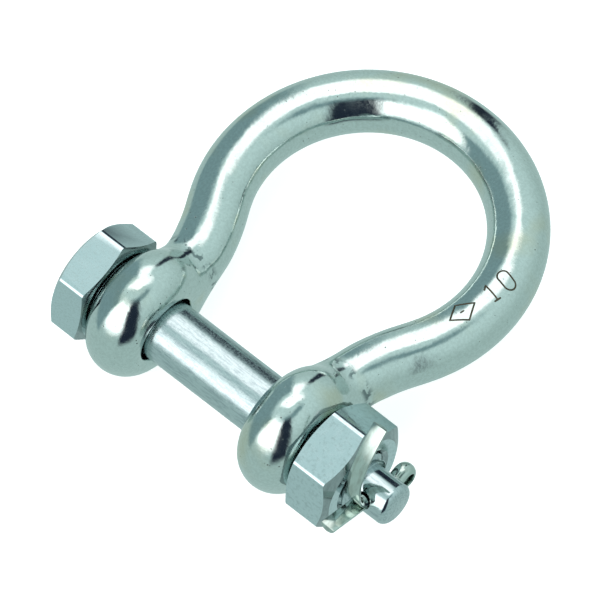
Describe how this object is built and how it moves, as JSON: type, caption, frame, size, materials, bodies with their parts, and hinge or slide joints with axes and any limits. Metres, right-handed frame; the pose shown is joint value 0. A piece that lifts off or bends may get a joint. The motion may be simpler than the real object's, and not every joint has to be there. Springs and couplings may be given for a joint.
{
  "type": "bow shackle with safety bolt",
  "caption": "Polished stainless bow shackle: a forged bow with two rounded eyes, closed by a hexagon bolt with nut and split pin.",
  "frame": {"origin": "on the bolt's axis, midway between the two eyes", "axes": "+X along the bolt from head to nut, +Y from the bolt to the crown of the bow, +Z square to the plane of the bow"},
  "size_m": [0.0635, 0.0719, 0.0256],
  "materials": {
    "polished_bow": "forged stainless steel, buffed nearly to a mirror, with small pits and a faint straw tint in the bends",
    "satin_bolt": "turned stainless steel, tumbled to a soft shine, with fine lines along the shank",
    "satin_nut": "stainless steel, drawn hexagon flats with soft bright corners",
    "drawn_wire": "half-round drawn stainless wire, flat side smooth"
  },
  "bodies": {
    "bow_body": {"bow": "polished_bow"},
    "bolt_body": {"bolt": "satin_bolt"},
    "nut_body": {"nut": "satin_nut"},
    "split_pin_body": {"split_pin": "drawn_wire"}
  },
  "joints": [
    {"name": "bolt_turn", "type": "hinge", "parent": "bow_body", "child": "bolt_body", "pos_m": [0, 0, 0], "axis": [1, 0, 0], "continuous": true},
    {"name": "nut_turn", "type": "hinge", "parent": "bolt_body", "child": "nut_body", "pos_m": [0.0249, 0, 0], "axis": [1, 0, 0], "range_deg": [-168, 84]},
    {"name": "split_pin_slide", "type": "slide", "parent": "bolt_body", "child": "split_pin_body", "axis": [0, -0.9063, 0.4226], "range_m": [-0.0008, 0.0008]}
  ]
}
